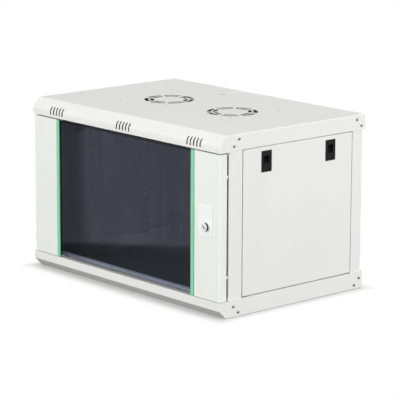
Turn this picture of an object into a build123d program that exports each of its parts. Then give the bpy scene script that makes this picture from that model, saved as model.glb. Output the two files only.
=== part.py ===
from build123d import *
import os

# Wall mount network cabinet with six rack units, in millimetres.
# +Z is up and the front faces -Y. The origin is the centre of the case's underside.
# A setback is a distance behind the front face of the case, and a height given for
# a bezel or flange is measured from the outer face of the plate that carries it.

# Case
case_width = 600.0
case_depth = 400.0
case_height = 370.0
sheet = 1.2
case_edge_radius = 2.0

# How far a cutter runs past the faces that it opens
past = 1.0

# Front bezels and side flanges of the top and bottom panels
top_ridge_setback = 18.9
top_knee_height = 18.5
top_knee_radius = 12.0
top_bezel_height = 34.2
top_flange_height = 32.4
bottom_ridge_setback = 17.0
bottom_knee_height = 17.2
bottom_knee_radius = 3.0
bottom_bezel_height = 34.4
bottom_flange_height = 36.6
lip_setback = 24.5
lip_reach = 7.6
lip_end_gap = 4.0
bottom_return_width = 16.8
side_return_gap = 2.0

# Vent slots through the bend of the top bezel
vent_side_room = 80.0
vent_groups = 3
vents_per_group = 5
vent_pitch = 9.8
vent_width = 3.6
vent_low_height = 29.5
vent_high_height = 12.5

# Fan grilles in the top panel
fan_spacing = 200.0
fan_shift = 5.0
fan_depth_share = 0.52
fan_bolt_spacing = 105.0
fan_bolt_radius = 2.25
grille_rings = [(33.0, 41.5), (44.5, 53.5)]
grille_spokes = 7
grille_spoke_width = 6.0
grille_turn = 28.5
panel_hole_radius = 2.5
panel_hole_spacing_x = 320.0
panel_hole_pitch = 161.0

# Cable entries with their cover plates
entry_length = 142.0
entry_width = 63.0
entry_rear_gap = 12.0
entry_corner_radius = 5.0
cover_sheet = 1.5
cover_overlap_x = 11.0
cover_overlap_y = 5.0
cover_screw_gap = 0.2

# Posts
post_sheet = 1.5
post_bend = 2.0
front_post_side = 35.5
front_post_face = 29.0
rear_post_side = 29.0
rear_post_face = 40.8
rear_post_inset = 5.0
post_return = 13.0
cam_notch_height = 72.0

# Side panels, with the pressed edges that rest on the seats of the posts
panel_inset = 0.8
panel_gap = 1.5
panel_return = 12.0
panel_bend = 1.6
seat_clearance = 0.3
seat_length = 13.0
hook_width = 20.0
hook_drop = 9.1
hook_inset = 8.6
hook_sheet = 1.2
hook_end_gap = 51.7
hook_slot_room = 4.8
hook_slot_play = 2.0

# Slide latches near the top edge of each side panel
latch_front_gap = 61.9
latch_rear_gap = 63.0
latch_drop = 8.1
latch_width = 28.0
latch_height = 43.5
latch_flange = 0.8
latch_flange_chamfer = 0.4
latch_body_width = 25.6
latch_body_height = 40.7
latch_body_depth = 12.0
latch_fit = 0.2
latch_back_wall = 2.1
slide_thickness = 3.0
slide_width = 14.6
slide_length = 18.0
slide_travel = 8.0
tongue_width = 12.0
tongue_play = 0.9
tongue_rest_drop = 1.4
tongue_chamfer = 1.0
slide_below_pad = 7.0
pad_height = 8.0
pad_depth = 3.5
groove_radius = 0.6
window_low = 16.5
window_high = 33.1
barb_length = 8.0
barb_reach = 0.7
barb_ramp = 4.0

# Rear panel with its raised field, which lies on the wall
rear_panel_sheet = 1.2
rear_panel_side_gap = 8.0
rear_panel_end_gap = 14.0
field_side_gap = 45.0
field_end_gap = 46.0
field_edge_radius = 3.0
wall_bolt_side_gap = 75.0
wall_bolt_end_gap = 75.0
wall_bolt_radius = 4.5
keyhole_spacing = 300.0
keyhole_top_gap = 90.0
keyhole_entry_radius = 7.5
keyhole_slot_radius = 4.0
keyhole_slot_rise = 14.0
rear_entry_length = 150.0
rear_entry_height = 45.0
rear_entry_low = 62.0
rear_screw_inset = 25.0
rear_screw_spacing = 125.0

# Rack rails. In a case 600 wide they keep the standard 19 inch pattern: an opening
# of 450, holes 465.1 apart, and three holes in every unit of height.
rail_side_room = 57.0
rail_end_room = 44.0
unit_height = 44.45
unit_hole_shares = [1 / 7, 1 / 2, 6 / 7]
rack_hole_size = 9.5
rack_hole_inset = 10.45
rail_flange = 18.0
rail_leg = 40.0
rail_sheet = 2.0
rail_bend = 3.0
front_rail_setback = 105.0
rear_rail_gap = 138.0

# Depth brackets, folded straps from the front post to the rear post
bracket_sheet = 1.5
bracket_bend = 2.5
bracket_height = 18.0
bracket_level = 48.0
bracket_arm_setback = 42.0
bracket_rear_inset = 20.0
bracket_tab = 11.5
bracket_slot_margin = 28.0
bracket_slot_gap = 12.0
bolt_first = 13.0
bolt_pitch = 15.0
bolt_radius = 3.0
bolt_play = 0.2
bolt_head_radius = 5.0
bolt_head_height = 3.5
bolt_end = 1.0
head_chamfer_share = 0.35
nut_across_flats = 10.0
nut_height = 5.0

# Case screws
screw_radius = 1.95
screw_hole_radius = 2.1
screw_head_radius = 3.3
screw_head_height = 1.8
screw_length = 8.0
corner_screw_low = 9.5
corner_screw_high = 23.0
corner_screw_front_gap = 10.8
corner_screw_rear_gap = 5.4
corner_screw_pitch = 13.2

# Earth stud
stud_x = 200.0
stud_rear_gap = 60.0
stud_radius = 3.0
stud_height = 22.0
stud_collar_radius = 4.8
stud_collar_height = 2.4
washer_radius = 6.5
washer_height = 1.2

# Door: two folded steel strips bonded to the back of a glass pane
door_inset = 0.8
door_side_gap = 3.0
door_top_gap = 3.0
door_bottom_gap = 1.2
door_depth = 19.0
door_sheet = 1.2
door_bend = 2.0
strip_width = 76.0
glass_thickness = 4.0
glass_recess = 1.2
glass_edge_gap = 1.5
glass_top_gap = 0.8
glass_bottom_gap = 4.5
glass_chamfer = 0.4
tape_thickness = 1.0
glazing_flange = 13.0
trim_width = 9.4
trim_thickness = 3.8
trim_foot = 1.8
trim_gap = 0.1

# Door hinge: a fixed pin below and a sprung bolt above
hinge_edge_distance = 6.0
hinge_setback = 8.0
pin_radius = 3.0
pin_play = 0.08
pin_rise = 11.0
pin_head_radius = 4.5
pin_head_height = 2.5
pin_chamfer = 1.0
hinge_washer_radius = 6.0
hinge_washer_play = 0.1
bolt_rise = 7.2
bolt_length = 55.0
bolt_bend = 4.5
bolt_handle = 20.0
collar_radius = 4.4
collar_height = 2.0
collar_drop = 29.0
lug_clearance = 0.3
lug_sheet = 1.5
lug_depth = 11.0
lug_width = 13.0
lug_corner_radius = 2.6
lower_lug_drop = 47.0
spring_radius = 3.9
spring_wire = 0.45
spring_coils = 5

# Door bumpers on the right front post
bumper_radius = 3.5
bumper_clearance = 0.3
bumper_spacing = 203.0
bumper_edge_distance = 6.5
bumper_chamfer = 0.8

# Cam lock
lock_edge_distance = 36.8
lock_drop = 0.1
plate_width = 41.5
plate_height = 62.5
plate_thickness = 1.8
plate_corner_radius = 4.0
plate_rise = 9.9
plate_shift = 3.6
plate_chamfer = 0.6
lock_flange_radius = 10.5
lock_flange_height = 1.6
barrel_radius = 9.0
barrel_fit = 0.1
barrel_end_setback = 22.3
plug_radius = 6.95
plug_play = 0.05
plug_head_radius = 8.2
plug_head_height = 6.0
plug_head_gap = 0.1
plug_chamfer = 0.9
keyway_length = 8.5
keyway_width = 2.4
keyway_depth = 3.0
keyway_slant = 32.0
lock_nut_across_flats = 24.0
lock_nut_height = 4.0
cam_clearance = 1.2
cam_thickness = 2.5
cam_width = 15.0
cam_corner_radius = 7.4
cam_reach = 34.0
cam_square = 8.0
cam_screw_radius = 5.0
cam_screw_height = 2.5

# Places worked out from the sizes above
side_x = case_width / 2
front_y = -case_depth / 2
rear_y = case_depth / 2
flange_inner_x = side_x - sheet
post_inner_x = flange_inner_x - post_sheet
front_post_end = lip_setback + front_post_side
rear_post_end = case_depth - rear_post_inset
rear_post_start = rear_post_end - rear_post_side
panel_x = side_x - panel_inset
panel_low = bottom_flange_height + panel_gap
panel_high = case_height - top_flange_height - panel_gap
panel_front = front_post_end + panel_gap
panel_rear = rear_post_start - panel_gap
seat_x = panel_x - panel_return - seat_clearance
door_x = side_x - door_side_gap
door_low = bottom_bezel_height + door_bottom_gap
door_high = case_height - top_bezel_height - door_top_gap
door_back = door_inset + door_depth
strip_inner_x = door_x - strip_width
glass_setback = door_inset + glass_recess
glass_low = door_low + glass_bottom_gap
glass_high = door_high - glass_top_gap
hinge_x = -(door_x - hinge_edge_distance)
lock_x = door_x - lock_edge_distance
lock_z = (door_low + door_high) / 2 - lock_drop
bracket_x = side_x - rail_side_room
bracket_levels = [bracket_level, case_height - bracket_level - bracket_height]
hook_x = panel_x - hook_inset - hook_sheet
tongue_x = panel_x - latch_body_depth + latch_back_wall
top_return_width = flange_inner_x - tongue_x - slide_thickness - tongue_play
rack_units = int((case_height - 2 * rail_end_room) / unit_height)
bracket_rear_arm = case_depth - bracket_rear_inset


def at_setback(distance):
    """The Y of a place that lies this far behind the front face of the case."""
    return front_y + distance


def block(x_range, y_range, z_range):
    """A box between two limits on each axis."""
    size = [high - low for low, high in (x_range, y_range, z_range)]
    middle = [(high + low) / 2 for low, high in (x_range, y_range, z_range)]
    return Pos(*middle) * Box(*size)


def rod(radius, start, direction, length):
    """A cylinder that starts at a point and runs along a direction."""
    return extrude(Plane(start, z_dir=direction) * Circle(radius), length)


def folded(points, thickness, side, bend, low, high):
    """A folded sheet: its plan follows the points, and it stands from low to high."""
    path = FilletPolyline(*points, radius=bend)
    section = make_face(offset(path, amount=thickness, side=side))
    return Pos(0, 0, low) * extrude(section, high - low)


def mirrored(shape):
    """The same piece on the other side of the case."""
    return mirror(shape, about=Plane.YZ)


def pan_screw(seat, direction, length=screw_length):
    """A pan head screw: the head's underside lies at the seat, the shank runs on."""
    away = Vector(*direction) * -1
    head = rod(screw_head_radius, seat, away, screw_head_height)
    rim = head.faces().sort_by(Axis(seat, away))[-1].edges()
    head = chamfer(rim, screw_head_height * head_chamfer_share)
    return head + rod(screw_radius, seat, direction, length)


def hex_nut(seat, direction, across_flats, height, bore):
    """A hexagon nut with a plain bore, standing on its seat."""
    outline = RegularPolygon(across_flats / 2, 6, major_radius=False) - Circle(bore)
    return extrude(Plane(seat, z_dir=direction) * outline, height)


# Top and bottom panels

def tray(ridge, knee_height, knee_radius, bezel_height, flange_height, return_width):
    """A pressed panel with its bezel, rear flange, side flanges and stop lip, plate down."""
    outline = Polyline(
        (at_setback(0), bezel_height),
        (at_setback(0), knee_height),
        (at_setback(ridge), 0),
        (rear_y, 0),
        (rear_y, flange_height),
        (at_setback(lip_setback), flange_height),
        (at_setback(lip_setback), bezel_height),
        close=True,
    )
    profile = make_face(outline)
    knee = profile.vertices().sort_by_distance((at_setback(0), knee_height))[0]
    profile = fillet(knee, knee_radius)
    hollow = offset(profile, -sheet)
    shell = extrude(Plane.YZ * profile, case_width / 2, both=True)
    plate_edges = shell.edges().filter_by(Axis.X).sort_by_distance((0, rear_y, 0))[:1]
    plate_edges += shell.edges().filter_by(Axis.Y).group_by(Axis.Z)[0]
    shell = fillet(plate_edges, case_edge_radius)
    shell -= extrude(Plane.YZ * hollow, flange_inner_x, both=True)

    # The tray stays open beside the posts, and between them down to the side returns
    inner = (at_setback(lip_setback), rear_y - sheet)
    edge = (min(flange_height - sheet, bezel_height) - sheet, flange_height + sheet)
    returns = (
        at_setback(front_post_end + seat_length + side_return_gap),
        at_setback(rear_post_start - seat_length - side_return_gap),
    )
    return_x = flange_inner_x - return_width
    shell -= block((-return_x, return_x), inner, edge)
    for side in (-1, 1):
        across = sorted((side * return_x, side * flange_inner_x))
        shell -= block(across, (inner[0], returns[0]), edge)
        shell -= block(across, (returns[1], inner[1]), edge)

    lip_x = side_x - lip_end_gap
    lip_y = (at_setback(lip_setback - sheet), at_setback(lip_setback))
    return shell + block((-lip_x, lip_x), lip_y, (bezel_height - sheet, bezel_height + lip_reach))


def corner_screw_places():
    """Y and height of the screws that fix a side flange to the two posts behind it."""
    front = lip_setback + corner_screw_front_gap
    rear = rear_post_end - corner_screw_rear_gap
    return [
        (at_setback(front), corner_screw_high),
        (at_setback(front + corner_screw_pitch), corner_screw_low),
        (at_setback(rear - corner_screw_pitch), corner_screw_low),
        (at_setback(rear), corner_screw_high),
    ]


def cable_entry(reach):
    """The cable opening near the rear edge, as a cutter on either side of Z = 0."""
    outline = RectangleRounded(entry_length, entry_width, entry_corner_radius)
    middle_y = rear_y - entry_rear_gap - entry_width / 2
    return Pos(0, middle_y, 0) * extrude(outline, reach, both=True)


def cover_screw_places():
    """X and Y of the four screws in a cable entry cover."""
    middle_y = rear_y - entry_rear_gap - entry_width / 2
    half_x = entry_length / 2 + cover_overlap_x / 2
    half_y = entry_width / 4
    return [(x, middle_y + y) for x in (-half_x, half_x) for y in (-half_y, half_y)]


def panel_openings(plate):
    """Cuts that the top and the bottom panel share: corner screws, cable entry, covers."""
    for y, height in corner_screw_places():
        start = (-side_x - past, y, height)
        plate -= rod(screw_hole_radius, start, (1, 0, 0), case_width + 2 * past)
    plate -= cable_entry(2 * sheet)
    for x, y in cover_screw_places():
        plate -= rod(screw_hole_radius, (x, y, -past), (0, 0, 1), sheet + 2 * past)
    return plate


def vent_cutter():
    """All the vent slots of the top bezel, as cutters that reach in from the front."""
    length = vent_low_height - vent_high_height
    middle = case_height - (vent_low_height + vent_high_height) / 2
    slot = Rot(0, 0, 90) * SlotOverall(length, vent_width)
    slots = []
    for group in range(vent_groups):
        group_x = (group - (vent_groups - 1) / 2) * (side_x - vent_side_room)
        for index in range(vents_per_group):
            x = group_x + (index - (vents_per_group - 1) / 2) * vent_pitch
            plane = Plane((x, at_setback(-past), middle), x_dir=(1, 0, 0), z_dir=(0, -1, 0))
            slots.append(extrude(plane * slot, -(top_ridge_setback - 2 * past)))
    return slots


def grille_slots(turn):
    """The plan of one fan grille: rings of arc slots between the spokes."""
    plan = Sketch()
    for inner, outer in grille_rings:
        plan += Circle(outer) - Circle(inner)
    for index in range(grille_spokes):
        angle = turn + index * 360 / grille_spokes
        reach = grille_rings[-1][1] + past
        plan -= Rot(0, 0, angle) * Pos(reach / 2, 0) * Rectangle(reach, grille_spoke_width)
    return plan


def fan_centres():
    """X and Y of the two fan positions."""
    y = at_setback(case_depth * fan_depth_share)
    return [(fan_shift - fan_spacing / 2, y), (fan_shift + fan_spacing / 2, y)]


def top_panel():
    """The top panel, in its own place."""
    plate = tray(
        top_ridge_setback,
        top_knee_height,
        top_knee_radius,
        top_bezel_height,
        top_flange_height,
        top_return_width,
    )
    plate = panel_openings(plate)
    plate = Pos(0, 0, case_height) * mirror(plate, about=Plane.XY)
    plate -= vent_cutter()
    cutters = []
    low = case_height - 2 * sheet
    for (x, y), turn in zip(fan_centres(), (grille_turn + 180, grille_turn)):
        cutters.append(Pos(x, y, low) * extrude(grille_slots(turn), 3 * sheet))
        half = fan_bolt_spacing / 2
        for dx, dy in ((-half, -half), (half, -half), (-half, half), (half, half)):
            cutters.append(rod(fan_bolt_radius, (x + dx, y + dy, low), (0, 0, 1), 3 * sheet))
    for x in (-panel_hole_spacing_x / 2, panel_hole_spacing_x / 2):
        for step in (-0.5, 0.5):
            y = at_setback(case_depth * fan_depth_share + step * panel_hole_pitch)
            cutters.append(rod(panel_hole_radius, (x, y, low), (0, 0, 1), 3 * sheet))
    pivot = hinge_axis(case_height - top_bezel_height - past)
    cutters.append(rod(pin_radius + pin_play, pivot, (0, 0, 1), sheet + 2 * past))
    return plate - cutters


def bottom_panel():
    """The bottom panel, with the slots that the hooks of the side panels drop into."""
    plate = tray(
        bottom_ridge_setback,
        bottom_knee_height,
        bottom_knee_radius,
        bottom_bezel_height,
        bottom_flange_height,
        bottom_return_width,
    )
    plate = panel_openings(plate)
    cutters = []
    for side in (-1, 1):
        inner = side * (hook_x - hook_slot_room)
        outer = side * (hook_x + hook_sheet + hook_slot_play)
        for y in hook_places():
            half = hook_width / 2 + hook_slot_play
            edge = (bottom_flange_height - 2 * sheet, bottom_flange_height + past)
            cutters.append(block(sorted((inner, outer)), (y - half, y + half), edge))
    pivot = hinge_axis(bottom_bezel_height - sheet - past)
    cutters.append(rod(pin_radius + pin_play / 2, pivot, (0, 0, 1), sheet + 2 * past))
    return plate - cutters


# Posts

def front_post():
    """The right front post, notched where the lock's cam turns behind its face."""
    face_x = flange_inner_x - front_post_face
    points = [
        (face_x, at_setback(lip_setback + post_return)),
        (face_x, at_setback(lip_setback)),
        (flange_inner_x, at_setback(lip_setback)),
        (flange_inner_x, at_setback(front_post_end)),
        (seat_x, at_setback(front_post_end)),
        (seat_x, at_setback(front_post_end + seat_length)),
    ]
    post = folded_post(points, Side.LEFT)
    notch_y = (at_setback(lip_setback + post_sheet), at_setback(lip_setback + post_return + past))
    notch_z = (lock_z - cam_notch_height / 2, lock_z + cam_notch_height / 2)
    return post - block((face_x - past, face_x + post_sheet + past), notch_y, notch_z)


def rear_post():
    """The right rear post, which carries the rear panel."""
    face_x = flange_inner_x - rear_post_face
    points = [
        (face_x, at_setback(rear_post_end - post_return)),
        (face_x, at_setback(rear_post_end)),
        (flange_inner_x, at_setback(rear_post_end)),
        (flange_inner_x, at_setback(rear_post_start)),
        (seat_x, at_setback(rear_post_start)),
        (seat_x, at_setback(rear_post_start - seat_length)),
    ]
    post = folded_post(points, Side.RIGHT)
    for x, z in rear_screw_places():
        post -= rod(screw_hole_radius, (abs(x), rear_y, z), (0, -1, 0), 2 * rear_post_inset)
    return post


def folded_post(points, side):
    """A post between the two panels, with the holes of its corner screws."""
    post = folded(points, post_sheet, side, post_bend, sheet, case_height - sheet)
    for y, height in corner_screw_places():
        for z in (height, case_height - height):
            post -= rod(screw_hole_radius, (side_x, y, z), (-1, 0, 0), screw_length)
    return post


def corner_screws():
    """The eight screws on the right side of the case."""
    return [
        pan_screw((side_x, y, z), (-1, 0, 0))
        for y, height in corner_screw_places()
        for z in (height, case_height - height)
    ]


# Rear panel

def rear_screw_places():
    """X and Z of the screws that hold the rear panel on the rear posts."""
    x = side_x - rear_screw_inset
    steps = (-1, 0, 1)
    return [(s * x, case_height / 2 + k * rear_screw_spacing) for s in (-1, 1) for k in steps]


def rear_panel():
    """The rear panel: a flat rim on the posts and a raised field that meets the wall."""
    rim_y = (rear_y - rear_post_inset, rear_y - rear_post_inset + rear_panel_sheet)
    rim_x = side_x - rear_panel_side_gap
    rim_z = (rear_panel_end_gap, case_height - rear_panel_end_gap)
    field_x = side_x - field_side_gap
    field_z = (field_end_gap, case_height - field_end_gap)
    field = block((-field_x, field_x), (rim_y[0], rear_y), field_z)
    raised = field.edges().group_by(Axis.Y)[-1] + field.edges().filter_by(Axis.Y)
    field = fillet(raised, field_edge_radius)
    inner_x = field_x - rear_panel_sheet
    inner_z = (field_z[0] + rear_panel_sheet, field_z[1] - rear_panel_sheet)
    inside = block((-inner_x, inner_x), (rim_y[0], rear_y - rear_panel_sheet), inner_z)
    inside = fillet(inside.edges().filter_by(Axis.Y), field_edge_radius - rear_panel_sheet)
    panel = block((-rim_x, rim_x), rim_y, rim_z) + field - inside

    cutters = []
    deep = 4 * rear_panel_sheet
    start_y = rear_y + past
    bolt_x = side_x - wall_bolt_side_gap
    for x in (-bolt_x, bolt_x):
        for z in (wall_bolt_end_gap, case_height - wall_bolt_end_gap):
            cutters.append(rod(wall_bolt_radius, (x, start_y, z), (0, -1, 0), deep))
    low = case_height - keyhole_top_gap
    high = low + keyhole_slot_rise
    for x in (-keyhole_spacing / 2, keyhole_spacing / 2):
        cutters.append(rod(keyhole_entry_radius, (x, start_y, low), (0, -1, 0), deep))
        cutters.append(rod(keyhole_slot_radius, (x, start_y, high), (0, -1, 0), deep))
        across = (x - keyhole_slot_radius, x + keyhole_slot_radius)
        cutters.append(block(across, (start_y - deep, start_y), (low, high)))
    entry = RectangleRounded(rear_entry_length, rear_entry_height, entry_corner_radius)
    entry_middle = (0, start_y, rear_entry_low + rear_entry_height / 2)
    entry_plane = Plane(entry_middle, x_dir=(1, 0, 0), z_dir=(0, -1, 0))
    cutters.append(extrude(entry_plane * entry, deep))
    for x, z in rear_screw_places():
        cutters.append(rod(screw_hole_radius, (x, start_y, z), (0, -1, 0), 2 * rear_post_inset))
    return panel - cutters


def rear_panel_screws():
    """The screws through the rim of the rear panel."""
    seat_y = rear_y - rear_post_inset + rear_panel_sheet
    return [pan_screw((x, seat_y, z), (0, -1, 0)) for x, z in rear_screw_places()]


# Cable entry covers, under the top plate and on the bottom plate

def cable_cover():
    """The cover of the bottom cable entry, lying on the inside of the plate."""
    outline = RectangleRounded(
        entry_length + 2 * cover_overlap_x, entry_width + 2 * cover_overlap_y, entry_corner_radius
    )
    middle_y = rear_y - entry_rear_gap - entry_width / 2
    plate = Pos(0, middle_y, sheet) * extrude(outline, cover_sheet)
    for x, y in cover_screw_places():
        plate -= rod(screw_hole_radius, (x, y, 0), (0, 0, 1), sheet + cover_sheet + past)
    return plate


def cable_cover_screws():
    """The screws of the bottom cover, driven from inside the case."""
    seat_z = sheet + cover_sheet
    length = seat_z - cover_screw_gap
    return [pan_screw((x, y, seat_z), (0, 0, -1), length) for x, y in cover_screw_places()]


def over(shape):
    """The matching piece at the top of the case."""
    return Pos(0, 0, case_height) * mirror(shape, about=Plane.XY)


# Depth brackets and rack rails

def depth_bracket(level):
    """A right depth bracket: its ends fold out and lie on the side walls of the posts."""
    points = [
        (post_inner_x, at_setback(bracket_arm_setback + bracket_tab)),
        (post_inner_x, at_setback(bracket_arm_setback)),
        (bracket_x, at_setback(bracket_arm_setback)),
        (bracket_x, at_setback(bracket_rear_arm)),
        (post_inner_x, at_setback(bracket_rear_arm)),
        (post_inner_x, at_setback(bracket_rear_arm - bracket_tab)),
    ]
    strap = folded(points, bracket_sheet, Side.RIGHT, bracket_bend, level, level + bracket_height)
    straight = bracket_rear_arm - bracket_arm_setback - 2 * bracket_slot_margin
    length = (straight - bracket_slot_gap) / 2
    slot = SlotOverall(length, 2 * (bolt_radius + bolt_play))
    for end in (-0.5, 0.5):
        setback = (bracket_arm_setback + bracket_rear_arm) / 2 + end * (length + bracket_slot_gap)
        middle = (bracket_x - past, at_setback(setback), level + bracket_height / 2)
        plane = Plane(middle, x_dir=(0, 1, 0), z_dir=(1, 0, 0))
        strap -= extrude(plane * slot, bracket_sheet + 2 * past)
    return strap


def rail_bolt_places(face, inward):
    """Setback and Z of the four bolts in the leg of a rail."""
    setbacks = [face + inward * (bolt_first + step * bolt_pitch) for step in (0, 1)]
    return [(s, level + bracket_height / 2) for s in setbacks for level in bracket_levels]


def rail(face, inward):
    """A right rail: square holes in its face, bolt holes in its leg."""
    points = [
        (bracket_x - rail_flange, at_setback(face)),
        (bracket_x, at_setback(face)),
        (bracket_x, at_setback(face + inward * rail_leg)),
    ]
    side = Side.LEFT if inward > 0 else Side.RIGHT
    body = folded(points, rail_sheet, side, rail_bend, rail_end_room, case_height - rail_end_room)
    cutters = []
    half = rack_hole_size / 2
    x = bracket_x - rack_hole_inset
    y = at_setback(face)
    deep = 2 * rail_sheet
    for unit in range(rack_units):
        for share in unit_hole_shares:
            z = case_height / 2 + (unit - rack_units / 2 + share) * unit_height
            cutters.append(block((x - half, x + half), (y - deep, y + deep), (z - half, z + half)))
    for setback, z in rail_bolt_places(face, inward):
        place = (bracket_x + past, at_setback(setback), z)
        cutters.append(rod(bolt_radius + bolt_play, place, (-1, 0, 0), rail_sheet + 2 * past))
    return body - cutters


def rail_bolts(face, inward):
    """The bolts of a right rail with their nuts, which clamp it on the brackets."""
    pieces = []
    head_seat = bracket_x - rail_sheet
    nut_seat = bracket_x + bracket_sheet
    shank_length = nut_seat + nut_height + bolt_end - head_seat
    for setback, z in rail_bolt_places(face, inward):
        y = at_setback(setback)
        shank = rod(bolt_radius, (head_seat, y, z), (1, 0, 0), shank_length)
        head = rod(bolt_head_radius, (head_seat, y, z), (-1, 0, 0), bolt_head_height)
        rim = head.faces().sort_by(Axis.X)[0].edges()
        pieces.append(chamfer(rim, bolt_head_height * head_chamfer_share) + shank)
        bore = bolt_radius + bolt_play / 4
        pieces.append(hex_nut((nut_seat, y, z), (1, 0, 0), nut_across_flats, nut_height, bore))
    return pieces


def earth_stud():
    """The earth stud on the bottom plate with its nut and washer."""
    y = rear_y - stud_rear_gap
    stud = rod(stud_radius, (stud_x, y, sheet), (0, 0, 1), stud_height)
    collar = rod(stud_collar_radius, (stud_x, y, sheet), (0, 0, 1), stud_collar_height)
    ring = Circle(washer_radius) - Circle(stud_radius + pin_play)
    washer_z = sheet + stud_collar_height
    washer = Pos(stud_x, y, washer_z) * extrude(ring, washer_height)
    seat = (stud_x, y, washer_z + washer_height)
    nut = hex_nut(seat, (0, 0, 1), nut_across_flats, nut_height, stud_radius + pin_play)
    return [stud + collar, washer, nut]


# Side panels and their latches

def hook_places():
    """Y of the hooks on the lower edge of a side panel."""
    return [at_setback(panel_front + hook_end_gap), at_setback(panel_rear - hook_end_gap)]


def latch_places():
    """Y of the two latches of a side panel."""
    return [at_setback(panel_front + latch_front_gap), at_setback(panel_rear - latch_rear_gap)]


def side_panel():
    """The right side panel: a shallow pressing with two hooks and two latch windows."""
    along = (at_setback(panel_front), at_setback(panel_rear))
    upright = (panel_low, panel_high)
    panel = block((panel_x - panel_return, panel_x), along, upright)
    panel = fillet(panel.faces().sort_by(Axis.X)[-1].edges(), panel_bend)
    inside_y = (along[0] + sheet, along[1] - sheet)
    inside_z = (upright[0] + sheet, upright[1] - sheet)
    panel -= block((panel_x - panel_return - past, panel_x - sheet), inside_y, inside_z)
    for y in hook_places():
        across = (hook_x, hook_x + hook_sheet)
        hook_y = (y - hook_width / 2, y + hook_width / 2)
        panel += block(across, hook_y, (panel_low - hook_drop, panel_low + sheet))
    for y in latch_places():
        half_y = latch_body_width / 2 + latch_fit
        half_z = latch_body_height / 2 + latch_fit
        window = (latch_middle() - half_z, latch_middle() + half_z)
        panel -= block((panel_x - sheet - past, panel_x + past), (y - half_y, y + half_y), window)
        half_y = tongue_width / 2 + tongue_play
        slot_x = (tongue_x - tongue_play, tongue_x + slide_thickness + tongue_play)
        edge = (panel_high - sheet - past, panel_high + past)
        panel -= block(slot_x, (y - half_y, y + half_y), edge)
    return panel


def latch_middle():
    """Z of the middle of a latch."""
    return panel_high - latch_drop - latch_height / 2


def latch_housing(y):
    """A right latch housing, with its window, slide channel and snap barbs."""
    middle = latch_middle()
    low = middle - latch_height / 2
    flange = block(
        (panel_x, panel_x + latch_flange),
        (y - latch_width / 2, y + latch_width / 2),
        (low, low + latch_height),
    )
    flange = chamfer(flange.faces().sort_by(Axis.X)[-1].edges(), latch_flange_chamfer)
    half_y = latch_body_width / 2
    body_z = (middle - latch_body_height / 2, middle + latch_body_height / 2)
    back = panel_x - latch_body_depth
    housing = flange + block((back, panel_x), (y - half_y, y + half_y), body_z)

    channel_half = slide_width / 2 + latch_fit
    channel_x = (tongue_x - latch_fit, tongue_x + slide_thickness + latch_fit)
    slide_top = slide_bottom() + slide_length + slide_travel
    channel_z = (slide_bottom() - latch_fit, slide_top + latch_fit)
    housing -= block(channel_x, (y - channel_half, y + channel_half), channel_z)
    tongue_half = tongue_width / 2 + latch_fit
    housing -= block(channel_x, (y - tongue_half, y + tongue_half), (slide_top, body_z[1] + past))
    window_z = (low + window_low, low + window_high)
    window_x = (channel_x[0], panel_x + past)
    housing -= block(window_x, (y - channel_half, y + channel_half), window_z)

    for side in (-1, 1):
        root = y + side * half_y
        tip = y + side * (half_y + barb_reach)
        catch = panel_x - sheet - latch_fit / 2
        wedge = Polyline((catch, root), (catch, tip), (catch - barb_ramp, root), close=True)
        height = (middle - barb_length / 2, barb_length)
        housing += Pos(0, 0, height[0]) * extrude(make_face(wedge), height[1])
    return housing


def pad_bottom():
    """Z of the lower edge of a finger pad when its slide is drawn back."""
    return latch_middle() - latch_height / 2 + window_low + latch_fit


def slide_bottom():
    """Z of the lower edge of a latch slide when it is drawn back."""
    return pad_bottom() - slide_below_pad


def latch_slide(y):
    """A right latch slide: carrier, tongue and ribbed finger pad, drawn back."""
    low = slide_bottom()
    across = (tongue_x, tongue_x + slide_thickness)
    carrier = block(across, (y - slide_width / 2, y + slide_width / 2), (low, low + slide_length))
    tongue_y = (y - tongue_width / 2, y + tongue_width / 2)
    tongue_top = panel_high - sheet - tongue_rest_drop
    tongue = block(across, tongue_y, (low + slide_length, tongue_top))
    top_edges = tongue.faces().sort_by(Axis.Z)[-1].edges().filter_by(Axis.Y)
    tongue = chamfer(top_edges, tongue_chamfer)
    pad_low = pad_bottom()
    pad_x = (tongue_x + slide_thickness, tongue_x + slide_thickness + pad_depth)
    pad = block(pad_x, (y - slide_width / 2, y + slide_width / 2), (pad_low, pad_low + pad_height))
    for step in (1, 2, 3):
        start = (pad_x[1], y - slide_width / 2 - past, pad_low + step * pad_height / 4)
        pad -= rod(groove_radius, start, (0, 1, 0), slide_width + 2 * past)
    return carrier + tongue + pad


# Door

def door_strip():
    """The right steel strip of the door, with the step and flange that carry the glass."""
    flange_setback = glass_setback + glass_thickness + tape_thickness
    points = [
        (door_x, at_setback(door_back)),
        (door_x, at_setback(door_inset)),
        (strip_inner_x, at_setback(door_inset)),
        (strip_inner_x, at_setback(flange_setback)),
        (strip_inner_x - glazing_flange, at_setback(flange_setback)),
    ]
    strip = folded(points, door_sheet, Side.RIGHT, door_bend, door_low, door_high)
    cap_x = (strip_inner_x + door_sheet / 2, door_x - door_sheet / 2)
    cap_y = (at_setback(door_inset + door_sheet / 2), at_setback(door_back))
    strip += block(cap_x, cap_y, (door_low, door_low + door_sheet))
    strip += block(cap_x, cap_y, (door_high - door_sheet, door_high))
    return strip


def left_strip():
    """The hinged strip, with the holes for the lower pin and the sprung bolt."""
    strip = mirrored(door_strip())
    hole = pin_radius + pin_play
    for level in (door_low, door_high - door_sheet):
        strip -= rod(hole, hinge_axis(level - past), (0, 0, 1), door_sheet + 2 * past)
    return strip


def right_strip():
    """The lock strip, with the hole for the lock's barrel."""
    start = lock_axis(door_inset - past)
    return door_strip() - rod(barrel_radius + barrel_fit, start, (0, 1, 0), door_sheet + 2 * past)


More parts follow.
